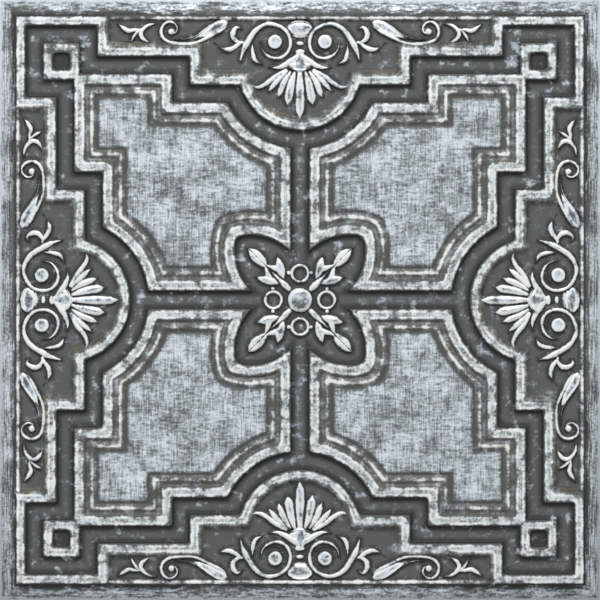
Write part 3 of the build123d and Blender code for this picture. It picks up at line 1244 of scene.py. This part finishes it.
@dataclass
class SheetPress:
    """Geometry Nodes that press the blank into the relief and repeat it round the tile."""

    pattern: TilePattern
    repeats: int = 4
    join_gap: float = 0.02

    def tree(self, material: bpy.types.Material) -> bpy.types.GeometryNodeTree:
        """Makes the tree.

        Args:
            material: finish of the sheet.

        Returns:
            The tree, with the thickness, the number of repeats and the gap that joins them as inputs.
        """
        tree = bpy.data.node_groups.new("press_sheet", "GeometryNodeTree")
        sockets = (
            ("Geometry", "INPUT", "NodeSocketGeometry"),
            ("Sheet Thickness", "INPUT", "NodeSocketFloat"),
            ("Repeats", "INPUT", "NodeSocketInt"),
            ("Join Gap", "INPUT", "NodeSocketFloat"),
            ("Geometry", "OUTPUT", "NodeSocketGeometry"),
        )
        for name, way, kind in sockets:
            tree.interface.new_socket(name=name, in_out=way, socket_type=kind)
        bench = Bench(tree)
        given = bench.node("NodeGroupInput")
        pressed = self.press(bench, bench.out(given, "Geometry"), bench.out(given, "Sheet Thickness"))
        whole = self.repeat(bench, pressed, bench.out(given, "Repeats"))
        merge = {"Geometry": whole, "Distance": bench.out(given, "Join Gap")}
        joined = bench.value("GeometryNodeMergeByDistance", merge)
        smooth = bench.value("GeometryNodeSetShadeSmooth", {"Geometry": joined})
        final = bench.value("GeometryNodeSetMaterial", {"Geometry": smooth, "Material": material})
        bench.node("NodeGroupOutput", {"Geometry": final})
        return tree

    def press(self, bench: Bench, blank: Value, thickness: Value) -> Value:
        """Raises the blank's points and keeps the insets for the finish.

        Args:
            bench: where the nodes go.
            blank: the flat wedge.
            thickness: thickness of the sheet.

        Returns:
            The pressed wedge.
        """
        x, y = bench.flat_place(bench.value("GeometryNodeInputPosition"))
        relief = Relief(self.pattern, bench, x, y)
        ornament = bench.value("GeometryNodeInputNamedAttribute", {"Name": "ornament"})
        is_back = bench.value("GeometryNodeInputNamedAttribute", {"Name": "is_back"})
        ground = relief.height()
        buried = bench.highest(ground - self.pattern.ground, 0.0)
        height = (ground + bench.highest(ornament - buried, 0.0) + (1.0 - is_back) * thickness) * MM
        kept = blank
        for name, value in (
            ("panel_inset", relief.panel),
            ("channel_inset", relief.channel),
            ("field_inset", relief.field),
            ("ring_inset", relief.ring),
        ):
            sockets = {"Geometry": kept, "Name": name, "Value": value}
            kept = bench.value("GeometryNodeStoreNamedAttribute", sockets)
        shift = bench.value("ShaderNodeCombineXYZ", {2: height})
        return bench.value("GeometryNodeSetPosition", {"Geometry": kept, "Offset": shift})

    def repeat(self, bench: Bench, wedge: Value, repeats: Value) -> Value:
        """Mirrors the wedge and turns the pair round the middle of the tile.

        Args:
            bench: where the nodes go.
            wedge: the pressed wedge.
            repeats: number of turned copies.

        Returns:
            The whole sheet, as real geometry.
        """
        mirrored = bench.value("GeometryNodeTransform", {"Geometry": wedge, "Scale": (-1.0, 1.0, 1.0)})
        turned_over = bench.value("GeometryNodeFlipFaces", {"Mesh": mirrored})
        pair = bench.value("GeometryNodeJoinGeometry", {"Geometry": [wedge, turned_over]})
        turn = bench.maths("DIVIDE", bench.value("GeometryNodeInputIndex") * math.tau, repeats)
        sockets = {
            "Points": bench.value("GeometryNodePoints", {"Count": repeats}),
            "Instance": pair,
            "Rotation": bench.value("ShaderNodeCombineXYZ", {2: turn}),
        }
        copies = bench.value("GeometryNodeInstanceOnPoints", sockets)
        return bench.value("GeometryNodeRealizeInstances", {"Geometry": copies})

    def press_object(self, blank: bpy.types.Object, material: bpy.types.Material) -> bpy.types.Object:
        """Presses the blank and keeps the result as a plain mesh.

        Args:
            blank: the flat wedge.
            material: finish of the sheet.

        Returns:
            The same object, with the whole sheet as its mesh.
        """
        tree = self.tree(material)
        modifier = blank.modifiers.new("press", "NODES")
        modifier.node_group = tree
        inputs = {item.name: item.identifier for item in tree.interface.items_tree if item.in_out == "INPUT"}
        modifier[inputs["Sheet Thickness"]] = self.pattern.thickness
        modifier[inputs["Repeats"]] = self.repeats
        modifier[inputs["Join Gap"]] = self.join_gap * MM
        depsgraph = bpy.context.evaluated_depsgraph_get()
        pressed = bpy.data.meshes.new_from_object(blank.evaluated_get(depsgraph))
        pressed.name = "pressed_sheet"
        blank.modifiers.remove(modifier)
        blank.data = pressed
        return blank


@dataclass(frozen=True)
class AntiqueSilver:
    """Dark PVC with silver paint dry brushed over what stands up. Colours are linear."""

    base: Colour = (0.088, 0.094, 0.091)
    # Dark patina of the hollows, made darker still as painted shade in the creases
    patina_and_shade: Colour = (0.026, 0.028, 0.026)
    warm: Colour = (0.19, 0.170, 0.140)
    tan: Colour = (0.54, 0.49, 0.40)
    cream: Colour = (0.79, 0.81, 0.78)
    silver: Colour = (0.66, 0.73, 0.78)
    grey: Colour = (0.25, 0.29, 0.325)
    tan_share: float = 0.45
    bare_roughness: float = 0.55
    paint_roughness: float = 0.42
    paint_metal: float = 0.15
    shine: float = 0.25

    def material(self, pattern: TilePattern) -> bpy.types.Material:
        """Makes the finish.

        Args:
            pattern: the tile's lines, which the brush follows.

        Returns:
            The material.
        """
        material = bpy.data.materials.new("antique_silver")
        material.use_nodes = True
        material.node_tree.nodes.clear()
        bench = Bench(material.node_tree)
        x, y = bench.flat_place(bench.value("ShaderNodeTexCoord", key="Object"))
        brush = Brush(bench, pattern, x, y)
        paint = brush.paint()
        # Painted shade over the dark patina at the foot of walls, in the valleys and round the ornament
        bare = self.mix(bench, brush.crease_patina_and_shade(), self.base, self.patina_and_shade)
        bare = self.mix(bench, brush.warmth(), bare, self.warm)
        tone = self.mix(bench, brush.brightness(), self.grey, self.silver)
        tone = self.mix(bench, brush.thickness(), tone, self.cream)
        tone = self.mix(bench, brush.warmth() * self.tan_share, tone, self.tan)
        sockets = {
            "Base Color": self.mix(bench, paint, bare, tone),
            "Roughness": bench.blend(paint, self.bare_roughness, self.paint_roughness),
            "Metallic": paint * self.paint_metal,
            "Specular IOR Level": self.shine,
            "Normal": brush.bump(paint),
        }
        shader = bench.value("ShaderNodeBsdfPrincipled", sockets)
        bench.node("ShaderNodeOutputMaterial", {"Surface": shader})
        return material

    @staticmethod
    def mix(bench: Bench, share: Value, low: Value | Colour, high: Value | Colour) -> Value:
        """Colour between two others, at a share from 0 to 1."""
        colours = [one if isinstance(one, Value) else (*one, 1.0) for one in (low, high)]
        sockets = {"Factor_Float": share, "A_Color": colours[0], "B_Color": colours[1]}
        return bench.value("ShaderNodeMix", sockets, {"data_type": "RGBA"}, "Result_Color")


@dataclass(frozen=True)
class Fade:
    """Level that changes smoothly between two values and stays the same beside them."""

    start: float
    end: float
    low: float = 0.0
    high: float = 1.0

    def at(self, value: Value) -> Value:
        """Level at a value."""
        return value.bench.step(value, self.start, self.end, self.low, self.high)


@dataclass(frozen=True)
class Hill:
    """Level that rises between two values and falls back to nothing between two more."""

    rise: Point
    fall: Point
    level: float = 1.0

    def at(self, value: Value) -> Value:
        """Level at a value."""
        return Fade(*self.rise).at(value) * Fade(*self.fall, self.level, 0.0).at(value)


@dataclass(frozen=True)
class Grain:
    """Grain of a noise, in cycles a millimetre along X and Y."""

    across: float
    along: float
    seed: float
    layers: float = 2.0
    roughness: float = 0.6


class Brush:
    """Where the dry brush leaves paint, as shader nodes.

    Most fades and hills run over millimetres inside a line of the pattern or outside the ornament, and
    the rest over noise or paint. Their levels are shares of full paint, of dark patina with painted
    shade, or of brown.
    """

    def __init__(self, bench: Bench, pattern: TilePattern, x: Value, y: Value) -> None:
        """Reads the insets and lays out the noise.

        Args:
            bench: where the nodes go.
            pattern: the tile's lines.
            x: place along X.
            y: place along Y.
        """
        self.bench = bench
        self.pattern = pattern
        self.x = x
        self.y = y
        self.across = bench.lowest(abs(x), abs(y))
        self.reach = bench.highest(abs(x), abs(y))
        self.edge = pattern.foot_line - self.reach
        self.panel = self.attribute("panel_inset")
        self.channel = self.attribute("channel_inset")
        self.field = self.attribute("field_inset")
        self.ring = self.attribute("ring_inset")
        self.gap = self.attribute("ornament_gap")
        self.rise = self.attribute("ornament")
        self.along_x = self.bristles(Grain(0.05, 0.42, 3.0))
        self.along_y = self.bristles(Grain(0.42, 0.05, 11.0))
        self.speckle = self.noise(Grain(0.36, 0.36, 17.0, 3.0))
        self.patches = self.noise(Grain(0.03, 0.03, 23.0))
        self.wander = self.noise(Grain(0.09, 0.09, 31.0))

    def attribute(self, name: str) -> Value:
        """Value that the press kept on the sheet."""
        return self.bench.value("ShaderNodeAttribute", None, {"attribute_name": name}, "Fac")

    def noise(self, grain: Grain) -> Value:
        """Cloudy noise about zero."""
        flat = {0: self.x * grain.across, 1: self.y * grain.along, 2: grain.seed}
        sockets = {
            "Vector": self.bench.value("ShaderNodeCombineXYZ", flat),
            "Scale": 1.0,
            "Detail": grain.layers,
            "Roughness": grain.roughness,
        }
        return self.bench.value("ShaderNodeTexNoise", sockets) - 0.5

    def bristles(self, grain: Grain) -> Value:
        """Bristle marks about zero, with short and long ones mixed."""
        shortening, lengthening, short_share = 2.2, 0.5, 0.6
        short = self.noise(replace(grain, across=grain.across * shortening))
        long = self.noise(replace(grain, along=grain.along * lengthening, seed=grain.seed + 1.0))
        return self.bench.blend(short_share, long, short)

    def uneven(self, patches: float = 0.0, wander: float = 0.0, speckle: float = 0.0) -> Value:
        """Unevenness about zero.

        Args:
            patches: weight of the widest noise.
            wander: weight of the middling one.
            speckle: weight of the finest one.

        Returns:
            The weighted sum.
        """
        weighted = ((self.patches, patches), (self.wander, wander), (self.speckle, speckle))
        return sum((noise * weight for noise, weight in weighted if weight), 0.0)

    @cached_property
    def flange(self) -> Value:
        """Share that is 1 on the flange."""
        return Fade(-0.6, 0.4, 1.0, 0.0).at(self.edge)

    @cached_property
    def plateau(self) -> Value:
        """Share that is 1 on the corner panels' plateaus."""
        wall = self.pattern.panel_walls()[-1]
        lead, reach = 1.0, 1.6
        return Fade(wall.start - lead, wall.start + reach * wall.run).at(self.panel)

    @cached_property
    def bead_line(self) -> Value:
        """How far a place is inside the crest of the bead, negative beside it."""
        pattern = self.pattern
        bead = pattern.panel_walls()[2]
        half = pattern.bead_crest / 2
        return half - abs(self.panel - (bead.start + bead.run + half))

    @cached_property
    def rim_line(self) -> Value:
        """How far a place is inside the crest of the rim, negative beside it."""
        pattern = self.pattern
        outer, inner = pattern.rim_walls()
        inward, stop = 0.9, 2.0
        line = (outer.run + inner.start) / 2 + inward
        return self.bench.lowest(pattern.rim_crest / 2 - abs(self.edge - line), self.field - stop)

    @cached_property
    def band(self) -> Value:
        """How far a place is inside the nearest band, negative down its walls."""
        bench, pattern = self.bench, self.pattern
        field_margin = 0.8
        outer = bench.lowest(-self.channel, -self.field - field_margin, self.edge - pattern.outer_run)
        panel = bench.lowest(self.panel, pattern.panel_band - self.panel)
        ring_band = (pattern.ring_side - pattern.ring_hole) / 2
        return bench.highest(outer, panel, bench.lowest(self.ring, ring_band - self.ring))

    def cross_way(self) -> Value:
        """Positive along the cross channels, away from the middle of the tile."""
        pattern = self.pattern
        return self.bench.lowest(self.reach - pattern.petal_radius, pattern.cross_end - self.reach)

    def band_paint(self) -> Value:
        """Paint over the bands, with worn places along their middle."""
        edge, middle, worn = Fade(-1.4, 2.4, high=0.85), Fade(1.4, 3.8), Fade(-0.08, 0.16, high=0.48)
        band = self.band + self.uneven(wander=1.4)
        lost = middle.at(band) * worn.at(self.uneven(patches=1.4, wander=1.0))
        return edge.at(band) - lost + self.uneven(patches=1.1)

    def slope_paint(self) -> Value:
        """Thin paint down the walls round the fields."""
        down, top = Fade(-2.0, 6.0, 0.50, 0.12), Fade(-3.0, -1.5)
        return down.at(self.field) * top.at(self.field)

    def line_paint(self) -> Value:
        """Paint along the crests of the rim and of the bead."""
        rim, bead = Fade(-2.2, 0.8), Fade(-3.6, 1.2)
        rim_level, bead_level = 0.66, 0.62
        uneven = self.uneven(patches=1.8)
        on_rim = rim.at(self.rim_line) * (rim_level + uneven)
        on_bead = bead.at(self.bead_line + self.uneven(wander=1.4)) * (bead_level + uneven)
        return self.bench.highest(on_rim, on_bead)

    def spray_paint(self) -> Value:
        """Paint over the ornament, thinner in the middle of wide forms and where it stands low."""
        over, middle, raised = Fade(-2.1, 0.1, 1.15, 0.0), Fade(-5.4, -2.4, 0.55, 0.0), Fade(0.4, 2.4, 0.5)
        return over.at(self.gap) * raised.at(self.rise) - middle.at(self.gap)

    def plateau_paint(self) -> Value:
        """Paint over the plateaus, a little thicker along their border."""
        level, border = 0.62, Fade(26.0, 46.0, 0.12, 0.0)
        return self.plateau * (level + border.at(self.panel) + self.uneven(patches=1.2, wander=0.5))

    def flange_paint(self) -> Value:
        """Paint over the flange, thick at the tile's edge and thin at the foot of the relief."""
        tile_edge, foot = Fade(-15.0, -11.5, 1.15, 0.59), Fade(-8.0, -0.3, high=0.42)
        return self.flange * (tile_edge.at(self.edge) - foot.at(self.edge) + self.uneven(patches=1.2))

    def floor_paint(self) -> Value:
        """Faint paint on the floors of channels and fields, clear of the ornament, with some dabs."""
        clear = Fade(1.0, 6.0).at(self.gap) * Fade(5.0, 6.0, 1.0, 0.0).at(self.ring)
        from_band, to_panel = Fade(2.6, 8.5, high=0.21), Fade(-9.0, -4.0, 1.0, 0.3)
        dabs = Fade(0.10, 0.20, 1.0, 3.0).at(self.uneven(patches=1.0, wander=0.8))
        in_channel = from_band.at(self.channel) * to_panel.at(self.panel) * clear * dabs
        in_field = Fade(2.0, 6.0, high=0.11).at(self.field) * clear
        return self.bench.highest(in_channel, in_field)

    def crown_paint(self) -> Value:
        """Paint along the crown of the cross channels."""
        return Fade(1.0, 7.0, 0.40, 0.0).at(self.across) * Fade(-1.0, 1.0).at(self.cross_way())

    def groove_paint(self) -> Value:
        """Thin paint in a panel's groove and beside its bead."""
        return Hill((9.0, 11.0), (19.0, 24.0), 0.38).at(self.panel)

    def exposure(self) -> Value:
        """How much a place stands out to the brush."""
        return self.bench.highest(
            self.band_paint(),
            self.slope_paint(),
            self.line_paint(),
            self.spray_paint(),
            self.plateau_paint(),
            self.flange_paint(),
            self.floor_paint(),
            self.crown_paint(),
            self.groove_paint(),
        )

    @cached_property
    def marks(self) -> Value:
        """Brush marks, about zero: along the flange, both ways over a plateau, mottled elsewhere."""
        bench = self.bench
        flange_weight, plateau_weight, mottle_weight = 0.75, 0.56, 0.20
        beside = Fade(-0.5, 0.5).at(abs(self.x) - abs(self.y))
        along_edge = bench.blend(beside, self.along_x, self.along_y) * flange_weight
        both_ways = self.along_x + self.along_y
        mottled = both_ways * mottle_weight + self.uneven(wander=0.72)
        marks = bench.blend(self.flange, mottled, along_edge)
        return bench.blend(self.plateau, marks, both_ways * plateau_weight) + self.uneven(speckle=0.32)

    def paint(self) -> Value:
        """Share of silver paint, which lies the looser the more it is exposed."""
        exposure = self.exposure()
        even_plateau = 0.25
        loose = Fade(0.0, 0.7, 2.2, 3.5).at(exposure) * (1.0 - self.plateau * even_plateau)
        return Fade(0.12, 0.98).at(exposure + self.marks * loose)

    def thickness(self) -> Value:
        """Share of the thickest, creamy paint along the edges that stand up."""
        edge = Hill((-0.6, 1.2), (1.8, 3.4)).at(self.band)
        spray = Hill((-4.0, -2.4), (-1.2, -0.4)).at(self.gap)
        line = Fade(-1.0, 0.6).at(self.bench.highest(self.bead_line, self.rim_line))
        kept = Fade(-0.22, 0.10).at(self.marks + self.uneven(patches=0.6))
        over_bands = Fade(-0.6, 1.2, high=0.35).at(self.band)
        return self.bench.highest(self.bench.highest(edge, spray, line) * kept, over_bands)

    def brightness(self) -> Value:
        """How thick and bright the paint is."""
        bench = self.bench
        edge = Fade(-1.0, 1.6, high=0.86).at(self.band) - Fade(1.6, 3.4, high=0.26).at(self.band)
        spray = Fade(-2.0, -0.8, 1.0, 0.0).at(self.gap) - Fade(-5.0, -2.4, 0.5, 0.0).at(self.gap)
        line = Fade(-1.0, 0.8, high=0.9).at(bench.highest(self.bead_line, self.rim_line))
        flange = self.flange * Fade(-15.0, -12.0, 0.95, 0.62).at(self.edge)
        plateau_level, looseness, even_plateau = 0.66, 2.4, 0.4
        body = bench.highest(edge, spray, line, plateau_level * self.plateau, flange)
        loose = looseness - self.plateau * even_plateau
        return Fade(0.0, 1.0).at(body + self.marks * loose + self.uneven(patches=0.8))

    def crease_patina_and_shade(self) -> Value:
        """Share of dark patina with painted shade at the foot of walls and round the ornament."""
        # Painted shade on top of the dark patina: wall feet, panel valleys, beside the rim and round the
        # ornament
        foot = Hill((-9.0, -2.4), (-1.8, 0.2), 0.9).at(self.band) * Fade(9.0, 10.0, 1.0, 0.3).at(self.panel)
        valley = Hill((9.5, 11.0), (22.0, 26.0), 0.4).at(self.panel)
        rim = Hill((-5.0, -2.2), (-1.6, -0.4), 0.48).at(self.rim_line)
        spray = Hill((-1.2, -0.3), (0.4, 4.6), 0.85).at(self.gap)
        return self.bench.highest(foot, valley, rim, spray) + self.uneven(speckle=0.3, wander=0.5)

    def warmth(self) -> Value:
        """Share of brown on the slopes towards the ornament and beside the bead."""
        slope = Hill((-1.4, 1.0), (2.6, 7.0), 0.30).at(self.field) * Fade(5.0, 9.0).at(self.edge)
        bead = Hill((8.4, 10.4), (20.0, 23.0), 0.18).at(self.panel)
        strength = 1.2
        return self.bench.highest(slope, bead) * (strength + self.uneven(patches=4.0))

    def bump(self, paint: Value) -> Value:
        """Normal with the paint's bristle marks."""
        bristle_depth, strength = 0.4 * MM, 0.25
        sockets = {"Strength": strength, "Distance": bristle_depth, "Height": self.marks * paint}
        return self.bench.value("ShaderNodeBump", sockets)


@dataclass
class CeilingTile:
    """The pressed sheet, in the box of the frame's node."""

    node: str = "tile_sheet"
    body: str = "root"
    thickness: float = 0.7

    def build(self) -> bpy.types.Object:
        """Makes the sheet and puts it in the CAD node's place.

        Returns:
            The finished piece.
        """
        low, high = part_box(self.node)
        half_side = (high.x - low.x) / 2 * PER_METRE
        pattern = TilePattern(half_side, self.thickness)
        blank = SheetBlank(pattern, Spray(pattern)).build()
        sheet = SheetPress(pattern).press_object(blank, AntiqueSilver().material(pattern))
        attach(sheet, self.body)
        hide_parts(self.node)
        log.info("%s: %d points, %d faces", sheet.name, len(sheet.data.vertices), len(sheet.data.polygons))
        return sheet


@dataclass(frozen=True)
class Lamp:
    """Soft square lamp that points at the tile, with its place and side in metres and its power in watts."""

    name: str
    place: tuple[float, float, float]
    side: float
    watts: float

    def build(self) -> None:
        """Hangs the lamp."""
        data = bpy.data.lights.new(self.name, "AREA")
        data.size = self.side
        data.energy = self.watts
        lamp = bpy.data.objects.new(self.name, data)
        lamp.location = self.place
        lamp.rotation_euler = Vector(self.place).to_track_quat("Z", "Y").to_euler()
        bpy.context.scene.collection.objects.link(lamp)


@dataclass
class Studio:
    """Pale floor, soft light and a camera straight above the tile, in metres."""

    frame_width: float
    camera_height: float = 4.0
    sight: float = 100.0
    floor_side: float = 30.0
    floor_drop: float = 0.05 * MM
    floor_colour: Colour = (0.80, 0.80, 0.79)
    floor_roughness: float = 0.8
    surround: float = 0.50
    lamps: tuple[Lamp, ...] = (
        Lamp("key", (0.0, 2.6, 2.6), 1.3, 100.0),
        Lamp("fill", (-1.6, -0.8, 3.0), 2.0, 14.0),
    )

    def build(self) -> None:
        """Makes the floor, the lights and the camera."""
        self.floor()
        self.world()
        for lamp in self.lamps:
            lamp.build()
        self.camera()

    def floor(self) -> None:
        """Makes the floor that the tile lies on."""
        mesh = bpy.data.meshes.new("floor")
        work = bmesh.new()
        bmesh.ops.create_grid(work, x_segments=1, y_segments=1, size=self.floor_side / 2)
        work.to_mesh(mesh)
        work.free()
        floor = bpy.data.objects.new("floor", mesh)
        floor.location.z = -self.floor_drop
        bpy.context.scene.collection.objects.link(floor)
        material = bpy.data.materials.new("pale_floor")
        material.use_nodes = True
        material.node_tree.nodes.clear()
        bench = Bench(material.node_tree)
        sockets = {"Base Color": (*self.floor_colour, 1.0), "Roughness": self.floor_roughness}
        shader = bench.value("ShaderNodeBsdfPrincipled", sockets)
        bench.node("ShaderNodeOutputMaterial", {"Surface": shader})
        mesh.materials.append(material)

    def world(self) -> None:
        """Sets an even pale surround."""
        world = bpy.data.worlds.new("surround")
        world.use_nodes = True
        world.node_tree.nodes.clear()
        bench = Bench(world.node_tree)
        sockets = {"Color": (1.0, 1.0, 1.0, 1.0), "Strength": self.surround}
        light = bench.value("ShaderNodeBackground", sockets)
        bench.node("ShaderNodeOutputWorld", {"Surface": light})
        bpy.context.scene.world = world

    def camera(self) -> None:
        """Adds the camera, which looks straight down with the tile filling its frame."""
        data = bpy.data.cameras.new("camera")
        data.lens = data.sensor_width * self.camera_height / self.frame_width
        data.clip_end = self.sight
        camera = bpy.data.objects.new("camera", data)
        camera.location = (0.0, 0.0, self.camera_height)
        bpy.context.scene.collection.objects.link(camera)
        bpy.context.scene.camera = camera


def main() -> None:
    """Builds the tile and its studio round the frame."""
    logging.basicConfig(level=logging.INFO, format="%(name)s: %(message)s")
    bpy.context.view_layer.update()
    tile = CeilingTile()
    tile.build()
    low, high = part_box(tile.node)
    Studio(frame_width=high.x - low.x).build()
    bpy.context.scene.view_settings.view_transform = "Standard"


if __name__ == "__main__":
    main()
